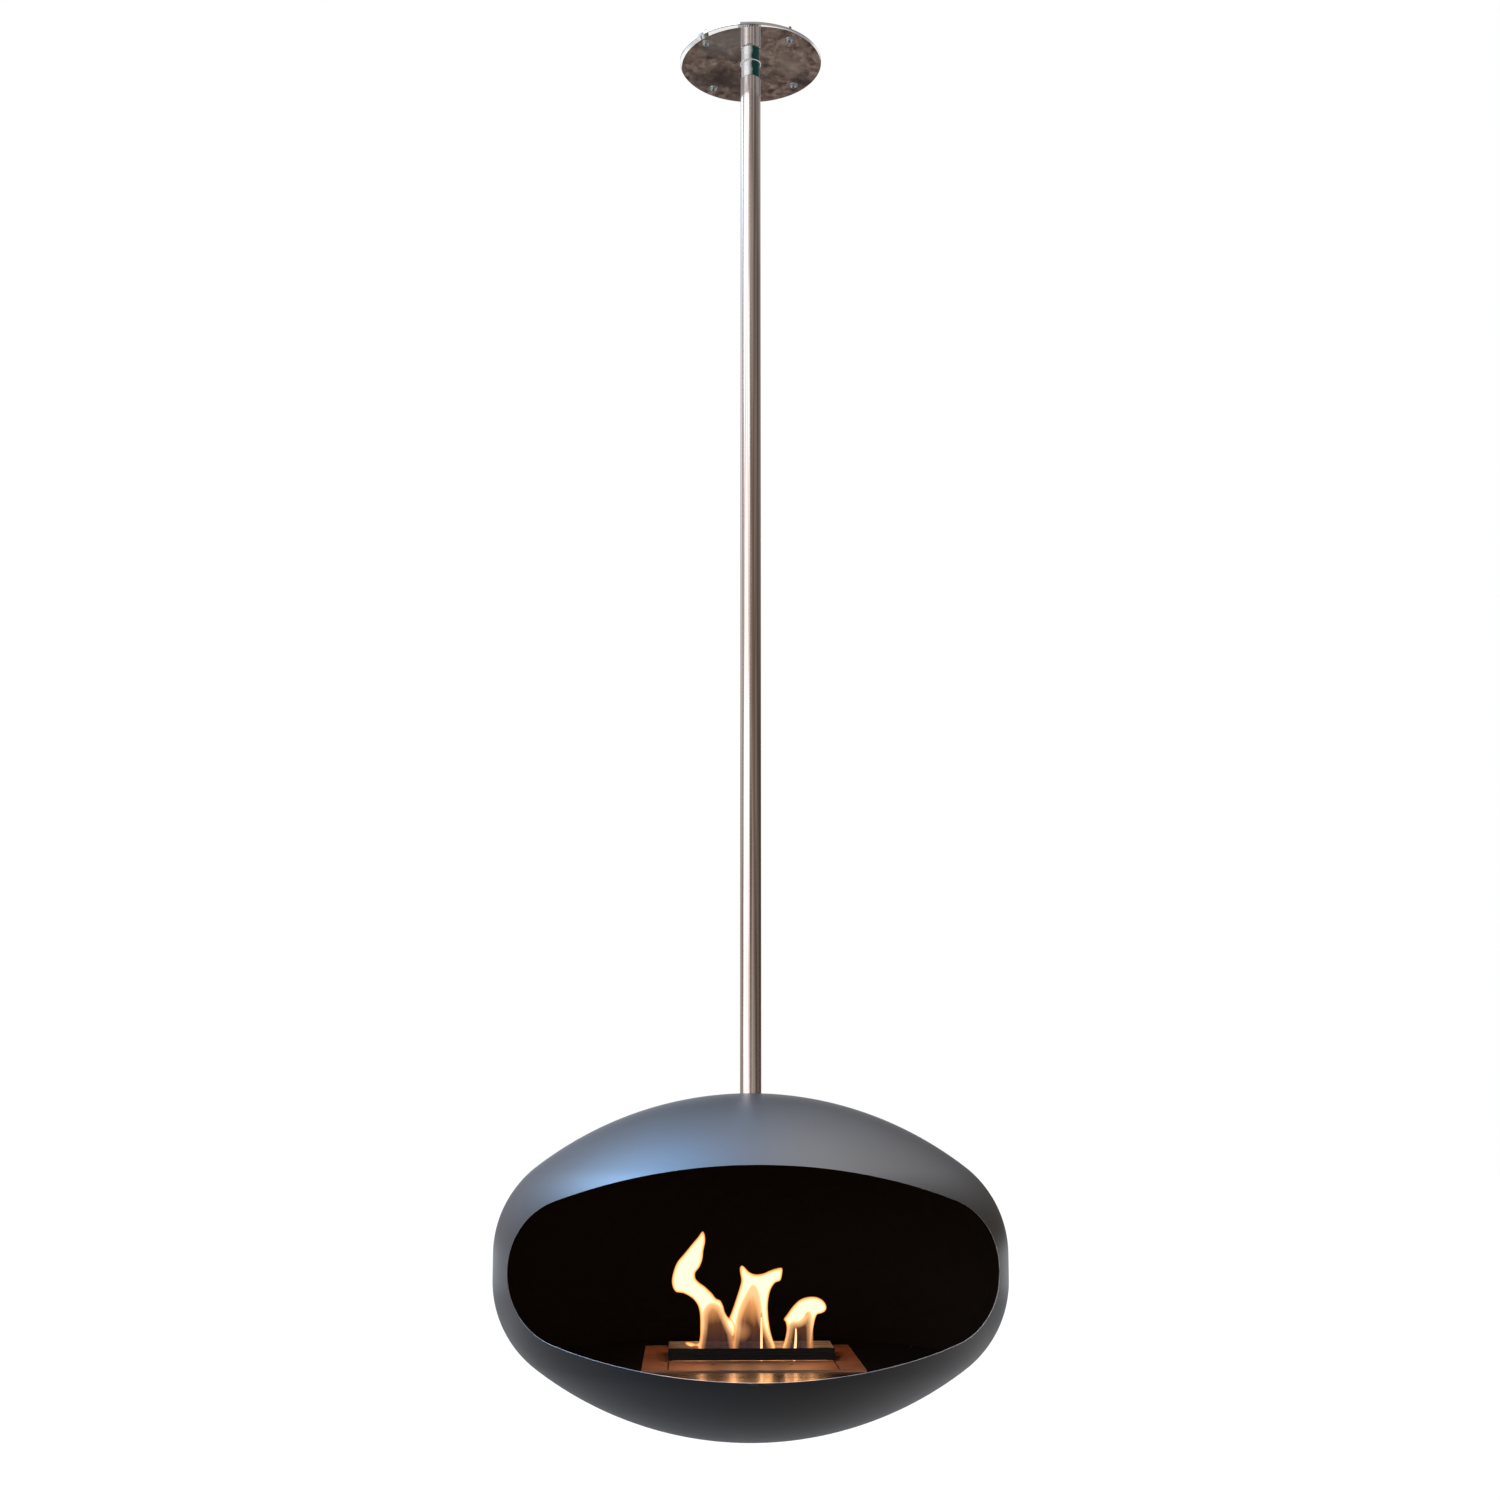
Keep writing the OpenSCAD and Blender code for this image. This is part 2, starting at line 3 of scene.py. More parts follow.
import bmesh
import bpy
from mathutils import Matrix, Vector
from mathutils.geometry import delaunay_2d_cdt

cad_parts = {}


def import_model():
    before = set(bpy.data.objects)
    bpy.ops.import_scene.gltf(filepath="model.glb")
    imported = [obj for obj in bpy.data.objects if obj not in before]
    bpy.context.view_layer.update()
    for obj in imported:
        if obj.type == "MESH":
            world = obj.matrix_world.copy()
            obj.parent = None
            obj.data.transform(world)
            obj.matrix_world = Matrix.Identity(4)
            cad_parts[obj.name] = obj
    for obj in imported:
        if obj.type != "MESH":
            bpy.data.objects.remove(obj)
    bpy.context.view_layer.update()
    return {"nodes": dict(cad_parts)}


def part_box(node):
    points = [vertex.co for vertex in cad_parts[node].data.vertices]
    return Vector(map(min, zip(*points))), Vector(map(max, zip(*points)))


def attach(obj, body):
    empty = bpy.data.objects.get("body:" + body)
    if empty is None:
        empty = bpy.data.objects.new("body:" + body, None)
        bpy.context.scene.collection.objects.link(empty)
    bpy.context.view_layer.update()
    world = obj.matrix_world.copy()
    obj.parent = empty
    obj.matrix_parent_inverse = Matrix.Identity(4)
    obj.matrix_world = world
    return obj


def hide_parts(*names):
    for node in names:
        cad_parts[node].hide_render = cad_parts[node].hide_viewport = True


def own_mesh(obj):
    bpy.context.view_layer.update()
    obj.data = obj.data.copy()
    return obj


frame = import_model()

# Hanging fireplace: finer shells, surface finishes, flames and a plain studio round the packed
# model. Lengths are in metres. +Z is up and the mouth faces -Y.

nodes = frame["nodes"]
MM = 0.001
BLACK = (0.0, 0.0, 0.0)
WHITE = (1.0, 1.0, 1.0)

# ---- Measures from the frame ----
shell_low, shell_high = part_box("lower_shell")
BODY_Z = shell_high.z
BODY_R = (shell_high.x - shell_low.x) / 2
HALF_H = shell_high.z - shell_low.z
plate_low, plate_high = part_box("ceiling_plate")
PLATE_R = (plate_high.x - plate_low.x) / 2
guard_low, guard_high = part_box("flame_guard")
FLAME_Y = (guard_low.y + guard_high.y) / 2
lid_low, lid_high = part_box("slide_lid")

# ---- Camera ----
CAMERA_AWAY = 3.383
CAMERA_ABOVE_BODY = 0.2454
CAMERA_LEFT = math.radians(1.974)
CAMERA_TURN = math.radians(1.954)
CAMERA_PITCH = math.radians(7.637)
FILM_MM = 36
LENS_MM = 45.285
LENS_SHIFT = 0.08
camera_data = bpy.data.cameras.new("camera")
camera_data.sensor_width = FILM_MM
camera_data.lens = LENS_MM
camera_data.shift_y = LENS_SHIFT
camera = bpy.data.objects.new("camera", camera_data)
camera.location = (-CAMERA_AWAY * math.sin(CAMERA_LEFT), -CAMERA_AWAY * math.cos(CAMERA_LEFT),
                   BODY_Z + CAMERA_ABOVE_BODY)
camera.rotation_euler = (math.pi / 2 + CAMERA_PITCH, 0, -CAMERA_TURN)
bpy.context.collection.objects.link(camera)
bpy.context.scene.camera = camera


# ---- Node trees ----
class Tree:
    """A material's or world's node tree with short calls to add and link nodes."""

    def __init__(self, owner):
        owner.use_nodes = True
        self.owner = owner
        self.nodes = owner.node_tree.nodes
        self.links = owner.node_tree.links

    def add(self, kind, inputs=None, **settings):
        """A new node with these settings, and these values or links at its inputs."""
        node = self.nodes.new("ShaderNode" + kind)
        for key, value in settings.items():
            setattr(node, key, value)
        for key, value in (inputs or {}).items():
            self.put(value, node.inputs[key])
        return node

    def put(self, value, socket):
        """Link the socket to an output, or set it to a value."""
        if isinstance(value, bpy.types.NodeSocket):
            self.links.new(value, socket)
        elif isinstance(value, tuple) and len(value) == 3 and socket.type == "RGBA":
            socket.default_value = (*value, 1)
        else:
            socket.default_value = value

    def dress(self, sockets):
        """Put values or links at the shader's sockets, by name, and return the material."""
        for key, value in sockets.items():
            self.put(value, self.nodes["Principled BSDF"].inputs[key])
        return self.owner

    def place(self):
        """The object's own coordinates."""
        return self.add("TexCoord").outputs["Object"]

    def axis(self, place, name):
        """One coordinate of a place: X, Y or Z."""
        return self.add("SeparateXYZ", {"Vector": place}).outputs[name]

    def vector(self, operation, a, b):
        """A vector made from two, such as their sum or product."""
        return self.add("VectorMath", {0: a, 1: b}, operation=operation).outputs["Vector"]

    def scaled(self, vector, scale):
        node = self.add("VectorMath", {0: vector, "Scale": scale}, operation="SCALE")
        return node.outputs["Vector"]

    def between(self, operation, a, b):
        """A number from two vectors: their distance or dot product."""
        return self.add("VectorMath", {0: a, 1: b}, operation=operation).outputs["Value"]

    def math(self, operation, *values, clamp=False):
        node = self.add("Math", operation=operation, use_clamp=clamp)
        for socket, value in zip(node.inputs, values):
            self.put(value, socket)
        return node.outputs[0]

    def centred(self, wisps, strength):
        """Noise as a push up or down from nought, times a strength."""
        return self.math("MULTIPLY", self.math("SUBTRACT", wisps, 0.5), strength)

    def ramp(self, fac, *stops):
        """A colour or grey by a factor: stops are (position, colour or grey)."""
        node = self.add("ValToRGB", {"Fac": fac})
        elements = node.color_ramp.elements
        while len(elements) < len(stops):
            elements.new(0.5)
        for element, (position, value) in zip(elements, stops):
            element.position = position
            colour = value if isinstance(value, tuple) else (value,) * 3
            element.color = (*colour, 1)
        return node.outputs["Color"]

    def step(self, value, low, high):
        """0 below the low value and 1 above the high one, with a soft step between."""
        return self.add("MapRange", {"Value": value, "From Min": low, "From Max": high},
                        interpolation_type="SMOOTHSTEP").outputs["Result"]

    def noise(self, scale, stretch=(1, 1, 1), detail=4, distortion=0.0, place=None):
        """Noise over a place, the object's own if none is given; a small stretch makes it long."""
        vector = self.add("Mapping", {"Vector": place or self.place(), "Scale": stretch})
        node = self.add("TexNoise", {"Vector": vector.outputs["Vector"], "Scale": scale,
                                     "Detail": detail, "Distortion": distortion})
        return node.outputs["Fac"]

    def mix(self, fac, a, b):
        """Colour a where the factor is 0 and colour b where it is 1."""
        node = self.add("Mix", data_type="RGBA")
        factor, first, second = node.inputs[0], node.inputs[6], node.inputs[7]
        self.put(fac, factor)
        self.put(a, first)
        self.put(b, second)
        return node.outputs[2]

    def bump(self, height, distance, strength=1.0):
        return self.add("Bump", {"Height": height, "Distance": distance,
                                 "Strength": strength}).outputs["Normal"]


def material(name, **sockets):
    """A new material as a Tree whose shader has these sockets set, by name with _ for a space."""
    tree = Tree(bpy.data.materials.new(name))
    tree.dress({key.replace("_", " "): value for key, value in sockets.items()})
    return tree


# ---- Finishes ----
GRAIN_ALONG_X = (0.01, 1, 1)
LID_GAP = 0.5 * MM
TOOL_X = 67 * MM
TOOL_Y = lid_high.y - 48.5 * MM
# reach of the painted flame light across the burner
PAINTED_LIGHT_REACH = 170 * MM
# reach of the painted shadow in the lid's seams and of the darkening round its tool holes
SEAM_SHADOW_REACH = 2 * MM
HOLE_DARK_REACH = 8 * MM


def grained(name, dark, light, rough, scale, stretch=(1, 1, 1), relief=0.02 * MM, detail=5,
            **sockets):
    """A finish whose colour, roughness and relief follow one grain, long where stretch is small."""
    tree = material(name, **sockets)
    grain = tree.noise(scale, stretch, detail)
    return tree.dress({"Base Color": tree.ramp(grain, (0.3, dark), (0.7, light)),
                       "Roughness": tree.ramp(grain, (0.3, rough[0]), (0.7, rough[1])),
                       "Normal": tree.bump(grain, relief)})


def ceiling_mirror():
    """Mirror-polished steel whose rim falls away a little, most on the side off the flat middle."""
    tree = material("plate_polished_steel", Metallic=1.0)
    flat_middle = (0.085 * PLATE_R, 0.115 * PLATE_R, plate_low.z)
    flat_r = 1.062 * PLATE_R
    rim_slope = 0.33
    smear_relief = 0.005 * MM
    smears = tree.noise(40, (1, 2, 1), detail=6)
    away = tree.between("DISTANCE", tree.place(), flat_middle)
    beyond = tree.math("MAXIMUM", tree.math("SUBTRACT", away, flat_r), 0.0)
    relief = tree.math("ADD", tree.math("MULTIPLY", beyond, rim_slope),
                       tree.math("MULTIPLY", smears, smear_relief))
    steel = tree.ramp(smears, (0.3, (0.84, 0.82, 0.80)), (0.7, (0.94, 0.93, 0.92)))
    return tree.dress({"Base Color": steel,
                       "Roughness": tree.ramp(smears, (0.3, 0.008), (0.7, 0.02)),
                       "Normal": tree.bump(relief, 1.0)})


def neck_steel():
    """Polished steel with a dark green painted reflection on one side."""
    tree = material("neck_polished_steel", Metallic=1.0, Anisotropic=0.9, Anisotropic_Rotation=0.25)
    painted_reflection_side = (0.72, -0.69, 0.0)
    painted_reflection_reach = 20 * MM
    ragged = 4 * MM
    grain = tree.noise(300)
    steel = tree.ramp(grain, (0.3, (0.88, 0.87, 0.85)), (0.7, (0.96, 0.95, 0.94)))
    side = tree.between("DOT_PRODUCT", tree.place(), painted_reflection_side)
    edge = tree.math("ADD", side, tree.math("MULTIPLY", tree.noise(90), ragged))
    # painted reflection: one side of the neck turns dark green, with a ragged edge
    painted_green_reflection = tree.ramp(tree.math("DIVIDE", edge, painted_reflection_reach), (0.62, 0.0), (0.80, 1.0))
    return tree.dress({"Base Color": tree.mix(painted_green_reflection, steel, (0.012, 0.075, 0.062)),
                       "Roughness": tree.ramp(grain, (0.3, 0.28), (0.7, 0.34)),
                       "Normal": tree.bump(grain, 0.002 * MM)})


def pole_steel():
    """Steel drawn and polished lengthwise: long faint streaks of warmer and darker tone."""
    tree = material("pole_brushed_steel", Metallic=1.0, Anisotropic=0.2)
    streaks = tree.noise(260, (1, 1, 0.006), detail=3)
    hair = tree.noise(1600, (1, 1, 0.001), detail=2)
    steel = tree.ramp(streaks, (0.38, (0.38, 0.29, 0.25)), (0.5, (0.62, 0.53, 0.49)),
                      (0.62, (0.86, 0.80, 0.77)))
    shade = tree.ramp(hair, (0.38, 0.82), (0.62, 1.06))
    return tree.dress({"Base Color": tree.vector("MULTIPLY", steel, shade),
                       "Roughness": tree.ramp(hair, (0.3, 0.11), (0.7, 0.19)),
                       "Normal": tree.bump(hair, 0.0025 * MM)})


def shell_paint():
    """Satin anthracite paint with a fine tooth, faint flecks and rubbed patches."""
    tree = material("shell_satin_anthracite", Specular_IOR_Level=0.5)
    tooth = tree.noise(1500, detail=3)
    patches = tree.noise(5, detail=5, distortion=0.5)
    flecks = tree.ramp(tree.noise(620, detail=2), (0.72, 0.0), (0.8, 1.0))
    base = tree.ramp(patches, (0.3, (0.027, 0.028, 0.030)), (0.7, (0.034, 0.035, 0.037)))
    flecked = tree.mix(tree.math("MULTIPLY", flecks, 0.25), base, (0.16, 0.16, 0.17))
    return tree.dress({"Base Color": flecked,
                       "Roughness": tree.ramp(patches, (0.3, 0.36), (0.7, 0.41)),
                       "Normal": tree.bump(tooth, 0.06 * MM, 0.5)})


def inwards(tree, place, half_x, low_y, high_y):
    """Distance of a place inwards from the sides of an upright box about the line x = 0."""
    aside = tree.math("SUBTRACT", half_x, tree.math("ABSOLUTE", tree.axis(place, "X")))
    ahead = tree.math("SUBTRACT", tree.axis(place, "Y"), low_y)
    behind = tree.math("SUBTRACT", high_y, tree.axis(place, "Y"))
    return tree.math("MINIMUM", aside, tree.math("MINIMUM", ahead, behind))


def guard_steel():
    """The flame guard's steel: bare inside, with painted shade that makes it near black outside."""
    tree = material("guard_steel_painted_shade_outside", Metallic=0.5)
    grain = tree.noise(500, GRAIN_ALONG_X)
    bare = tree.ramp(grain, (0.3, (0.13, 0.125, 0.12)), (0.7, (0.22, 0.21, 0.20)))
    # painted shade: near black on the guard's outer faces
    black = tree.ramp(grain, (0.3, (0.010, 0.011, 0.012)), (0.7, (0.016, 0.017, 0.018)))
    depth = inwards(tree, tree.place(), guard_high.x, guard_low.y, guard_high.y)
    within = tree.ramp(tree.math("DIVIDE", depth, 1 * MM), (0.3, 0.0), (0.6, 1.0))
    return tree.dress({"Base Color": tree.mix(within, black, bare),
                       "Roughness": tree.ramp(grain, (0.3, 0.24), (0.7, 0.32)),
                       "Normal": tree.bump(grain, 0.008 * MM)})


def free_of_seam_shadow_and_hole_dark(tree, place):
    """0 in the lid's seams, which take a painted shadow, and round its tool holes, which are
    darkened, and 1 elsewhere.
    """
    seam_x, seam_y, no_back_seam = lid_high.x + LID_GAP, lid_low.y - LID_GAP, 1.0
    off_seam = tree.math("ABSOLUTE", inwards(tree, place, seam_x, seam_y, no_back_seam))
    unmarked = tree.ramp(tree.math("DIVIDE", off_seam, SEAM_SHADOW_REACH), (0.4, 0.0), (0.9, 1.0))
    for x in (-TOOL_X, TOOL_X):
        off_hole = tree.between("DISTANCE", place, (x, TOOL_Y, lid_high.z))
        away = tree.ramp(tree.math("DIVIDE", off_hole, HOLE_DARK_REACH), (0.45, 0.0), (0.8, 1.0))
        unmarked = tree.math("MULTIPLY", unmarked, away)
    return unmarked


def burner_steel(name, painted_seams_and_holes):
    """Brushed steel tinted by heat, with painted flame light, and where asked painted shadow in the
    lid's seams and darkening round its tool holes.
    """
    tree = material(name, Metallic=0.4)
    place = tree.place()
    grain = tree.noise(700, GRAIN_ALONG_X, detail=5)
    heat = tree.noise(14, (1, 2, 1), detail=3)
    steel = tree.ramp(grain, (0.3, (0.22, 0.17, 0.14)), (0.7, (0.40, 0.32, 0.27)))
    steel = tree.mix(tree.ramp(heat, (0.35, 0.2), (0.65, 0.7)), steel, (0.26, 0.13, 0.08))
    # painted flame light: darker in the middle, lighter and warmer towards the sides
    across = tree.math("ABSOLUTE", tree.axis(place, "X"))
    tint = tree.ramp(tree.math("DIVIDE", across, PAINTED_LIGHT_REACH), (0.25, (0.62, 0.56, 0.62)),
                     (1.0, (1.9, 1.25, 0.85)))
    steel = tree.vector("MULTIPLY", steel, tint)
    if painted_seams_and_holes:
        # painted shadow in the lid's seams, and darkening round its tool holes
        steel = tree.mix(free_of_seam_shadow_and_hole_dark(tree, place), (0.012, 0.010, 0.009), steel)
    return tree.dress({"Base Color": steel,
                       "Roughness": tree.ramp(grain, (0.3, 0.42), (0.7, 0.56)),
                       "Normal": tree.bump(grain, 0.01 * MM)})


finishes = {
    "plate": ceiling_mirror(),
    "polished": neck_steel(),
    "weld": grained("weld_bright_steel", (0.55, 0.54, 0.52), (0.93, 0.92, 0.90), (0.10, 0.3), 260,
                    relief=0.15 * MM, Metallic=1.0),
    "screws": grained("screw_polished_steel", (0.24, 0.25, 0.24), (0.52, 0.53, 0.52),
                      (0.12, 0.22), 500, relief=0.01 * MM, Metallic=1.0),
    "pole": pole_steel(),
    "zinc": grained("zinc_plated_steel", (0.42, 0.42, 0.43), (0.62, 0.62, 0.60), (0.28, 0.42),
                    240, relief=0.03 * MM, Metallic=1.0),
    "bronze": grained("bearing_bronze", (0.46, 0.31, 0.13), (0.66, 0.48, 0.24), (0.28, 0.40),
                      400, (1, 1, 0.1), Metallic=1.0),
    "plastic": grained("slip_ring_plastic", (0.80, 0.79, 0.76), (0.88, 0.87, 0.84),
                       (0.45, 0.55), 700),
    "paint": shell_paint(),
    "soot": grained("shell_inside_black", (0.006, 0.005, 0.0045), (0.011, 0.009, 0.008),
                    (0.7, 0.9), 60, relief=0.08 * MM, Specular_IOR_Level=0.12),
    # painted highlight: the rim edge is pale and partly matte, so that it shows a light line
    "rim": grained("shell_rim_edge_painted_highlight", (0.78, 0.80, 0.84), (0.92, 0.94, 0.98), (0.30, 0.42), 420,
                   Metallic=0.3),
    "hearth": grained("hearth_gloss_black", (0.006, 0.006, 0.0065), (0.012, 0.012, 0.013),
                      (0.22, 0.27), 400, relief=0.001 * MM, Specular_IOR_Level=1.0),
    "bracket": grained("bracket_black", (0.010, 0.010, 0.011), (0.022, 0.022, 0.023), (0.4, 0.55),
                       300, relief=0.05 * MM),
    "dark_screws": grained("blackened_screws", (0.05, 0.05, 0.052), (0.11, 0.11, 0.115),
                           (0.3, 0.45), 600, Metallic=1.0),
    "burner": burner_steel("burner_brushed_steel", painted_seams_and_holes=True),
    "runway": burner_steel("runway_brushed_steel", painted_seams_and_holes=False),
    "guard": guard_steel(),
    "fibre": grained("fibre_block_ceramic", (0.58, 0.53, 0.46), (0.86, 0.83, 0.77), (0.9, 1.0), 520,
                     (1, 1, 0.4), 0.8 * MM, detail=9, Specular_IOR_Level=0.1),
}
wearers = {
    "plate": ["ceiling_plate"],
    "polished": ["swivel_neck"],
    "screws": ["ceiling_screws"],
    "pole": ["pole_head", "pole_tube"],
    "zinc": ["swivel_bolt", "thrust_washer", "swivel_nut", "pole_foot", "cross_bolt",
             "cross_washers", "cross_nut"],
    "bronze": ["swivel_bush"],
    "plastic": ["slip_ring"],
    "hearth": ["front_sill", "floor_plate"],
    "bracket": ["floor_brackets", "crown_plate", "hanger_socket"],
    "dark_screws": ["floor_screws"],
    "burner": ["burner_tray", "slide_lid"],
    "runway": ["lid_guide", "fuel_tank"],
    "guard": ["flame_guard"],
    "fibre": ["fibre_block"],
}
for finish, names in wearers.items():
    for name in names:
        nodes[name].data.materials.clear()
        nodes[name].data.materials.append(finishes[finish])


def new_piece(name, mesh, *worn):
    """The finished mesh as an object that wears these finishes."""
    bmesh.ops.recalc_face_normals(mesh, faces=mesh.faces)
    data = bpy.data.meshes.new(name)
    mesh.to_mesh(data)
    mesh.free()
    for finish in worn:
        data.materials.append(finish)
    piece = bpy.data.objects.new(name, data)
    bpy.context.collection.objects.link(piece)
    return piece


# ---- Body: two dishes with the mouth cut through them ----
# Heights are measured from the body's widest line, up on the upper dish and down on the lower.
FLANGE_H = 22 * MM
KNUCKLE_R = 186 * MM
SHEET = 3 * MM
MOUTH_HALF_W = 410 * MM
MOUTH_TOP, MOUTH_TOP_R = 180 * MM, 128 * MM
MOUTH_LOW, MOUTH_LOW_R = 152 * MM, 112 * MM
POLE_HOLE_R = 19.2 * MM
# the sheet's edge round the mouth is rounded more outside than inside
RIM_ROUNDING = 2.2 * MM
OUTER_SHARE, INNER_SHARE = 1.0, 0.25
# rows along the mouth's ends and its long sides, then up the knuckle, clear of where the crown
# meets it, and then in to the hole, or to a small last row about the middle
COLUMNS = 216
END_STEPS, FLAT_STEPS = 18, 30
KNUCKLE_STEP = 6 * MM
KNUCKLE_CLEAR = 8 * MM
CROWN_STEPS = 30
LAST_ROW_R = 3 * MM
# places of the finishes among the dish's materials
PAINT, SOOT, RIM = 0, 1, 2

ring_r = BODY_R - KNUCKLE_R
rise = HALF_H - FLANGE_H
crown_r = (ring_r ** 2 + rise ** 2 - KNUCKLE_R ** 2) / (2 * (rise - KNUCKLE_R))
crown_z = HALF_H - crown_r
crown_angle = math.atan2(ring_r, FLANGE_H - crown_z)


def meet_z(inset):
    """Height above the widest line at which crown and knuckle meet."""
    return crown_z + (crown_r - inset) * math.cos(crown_angle)


def wall_r(z, inset):
    """Radius of the dish at a height above the widest line."""
    if z > meet_z(inset):
        return math.sqrt((crown_r - inset) ** 2 - (z - crown_z) ** 2)
    return ring_r + math.sqrt((KNUCKLE_R - inset) ** 2 - max(z - FLANGE_H, 0) ** 2)


def wall_z(radius, inset):
    """Height of the dish above the widest line at a radius."""
    if radius > ring_r + (KNUCKLE_R - inset) * math.sin(crown_angle):
        return FLANGE_H + math.sqrt((KNUCKLE_R - inset) ** 2 - (radius - ring_r) ** 2)
    return crown_z + math.sqrt((crown_r - inset) ** 2 - radius ** 2)


def mouth_rows(height, end_r):
    """(z, half width) along the mouth's edge from its widest line to its middle."""
    inner = MOUTH_HALF_W - end_r
    big = (inner ** 2 + height ** 2 - end_r ** 2) / (2 * (height - end_r))
    lean = math.atan2(inner, big - height)
    rows = []
    for i in range(END_STEPS):
        turn = (math.pi / 2 - lean) * i / END_STEPS
        rows.append((end_r * math.sin(turn), inner + end_r * math.cos(turn)))
    for i in range(FLAT_STEPS + 1):
        turn = lean * (1 - i / FLAT_STEPS)
        rows.append((height - big + big * math.cos(turn), big * math.sin(turn)))
    rows[-1] = (height, 0.0)
    return rows


def crown_rows(height, inset, hole_r):
    """(z, radius) from the mouth's middle up to the hole or the top."""
    rows = []
    z = height
    while z + KNUCKLE_CLEAR < meet_z(inset):
        z += KNUCKLE_STEP
        rows.append((z, wall_r(z, inset)))
    start = wall_r(z, inset)
    for i in range(1, CROWN_STEPS + 1):
        radius = start + (max(hole_r, LAST_ROW_R) - start) * i / CROWN_STEPS
        rows.append((wall_z(radius, inset), radius))
    return rows


def dish_grid(mesh, side, height, end_r, hole_r, inset):
    """Rows of corners round the dish, open beside the mouth and closed into rings above it."""
    rows = []
    for z, half in mouth_rows(height, end_r):
        radius = wall_r(z, inset)
        rows.append((z, radius, math.asin(min(half / radius, 1.0))))
    rows += [(z, radius, 0.0) for z, radius in crown_rows(height, inset, hole_r)]
    grid = []
    for z, radius, start in rows:
        row = []
        for i in range(COLUMNS + 1):
            if start == 0 and i == COLUMNS:
                row.append(row[0])
                continue
            turn = start + (2 * math.pi - 2 * start) * i / COLUMNS
            row.append(mesh.verts.new((radius * math.sin(turn), -radius * math.cos(turn),
                                       BODY_Z + side * z)))
        grid.append(row)
    return grid


def band(mesh, low, high, finish):
    """Smooth faces between two rows, with three corners where two of the four are one."""
    for i in range(len(low) - 1):
        corners = list(dict.fromkeys((low[i], low[i + 1], high[i + 1], high[i])))
        if len(corners) > 2:
            face = mesh.faces.new(corners)
            face.material_index = finish
            face.smooth = True


def dish(name, side, height, end_r, hole_r, replaced):
    """One dish as a closed sheet, side 1 above the widest line and -1 below it."""
    mesh = bmesh.new()
    outer = dish_grid(mesh, side, height, end_r, hole_r, 0.0)
    inner = dish_grid(mesh, side, height, end_r, hole_r, SHEET)
    for grid, inset, finish in ((outer, 0.0, PAINT), (inner, SHEET, SOOT)):
        for low, high in zip(grid, grid[1:]):
            band(mesh, low, high, finish)
        if not hole_r:
            top = mesh.verts.new((0, 0, BODY_Z + side * (HALF_H - inset)))
            band(mesh, grid[-1], [top] * (COLUMNS + 1), finish)
    band(mesh, outer[0], inner[0], SOOT)
    if hole_r:
        band(mesh, outer[-1], inner[-1], RIM)
    mouth_count = len(mouth_rows(height, end_r))
    rims = []
    for end in (0, COLUMNS):
        outer_rim = [row[end] for row in outer[:mouth_count]]
        inner_rim = [row[end] for row in inner[:mouth_count]]
        band(mesh, outer_rim, inner_rim, RIM)
        rims += [(outer_rim, OUTER_SHARE), (inner_rim, INNER_SHARE)]
    weight = mesh.edges.layers.float.new("bevel_weight_edge")
    for rim, share in rims:
        for ends in zip(rim, rim[1:]):
            mesh.edges.get(ends)[weight] = share
    sharp = [outer[0], inner[0]]
    if hole_r:
        sharp += [outer[-1], inner[-1]]
    for row in sharp:
        for ends in zip(row, row[1:]):
            mesh.edges.get(ends).smooth = False
    piece = new_piece(name, mesh, finishes["paint"], finishes["soot"], finishes["rim"])
    rounding = piece.modifiers.new("rim", "BEVEL")
    rounding.limit_method = "WEIGHT"
    rounding.width = RIM_ROUNDING
    rounding.segments = 3
    rounding.material = RIM
    rounding.harden_normals = True
    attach(piece, "hanging_fire")
    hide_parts(replaced)


dish("body_upper", 1, MOUTH_TOP, MOUTH_TOP_R, POLE_HOLE_R, "upper_shell")
dish("body_lower", -1, MOUTH_LOW, MOUTH_LOW_R, 0, "lower_shell")

# ---- Weld between the neck and the ceiling plate ----
NECK_R = 17.5 * MM
BEAD_R = 1.3 * MM
BEAD_AROUND, BEAD_ACROSS = 288, 10
RIPPLES = 36
BEAD_SINK = 0.3
BEAD_FLATNESS = 0.8


def weld_bead():
    """A ring of overlapping weld ripples round the neck, in the corner under the plate."""
    mesh = bmesh.new()
    rings = []
    for i in range(BEAD_AROUND):
        turn = 2 * math.pi * i / BEAD_AROUND
        phase = (RIPPLES * i / BEAD_AROUND) % 1.0
        swell = BEAD_R * (0.75 + 0.35 * math.sin(math.pi * phase) + 0.08 * math.sin(7 * turn))
        ring = []
        for j in range(BEAD_ACROSS):
            roll = 2 * math.pi * j / BEAD_ACROSS
            out = NECK_R + BEAD_R + swell * math.cos(roll)
            up = plate_low.z - BEAD_SINK * BEAD_R + swell * math.sin(roll) * BEAD_FLATNESS
            ring.append(mesh.verts.new((out * math.sin(turn), out * math.cos(turn), up)))
        rings.append(ring)
    for here, there in zip(rings, rings[1:] + rings[:1]):
        for j in range(BEAD_ACROSS):
            k = (j + 1) % BEAD_ACROSS
            mesh.faces.new((here[j], there[j], there[k], here[k])).smooth = True
    piece = new_piece("neck_weld", mesh, finishes["weld"])
    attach(piece, "ceiling_mount")


weld_bead()

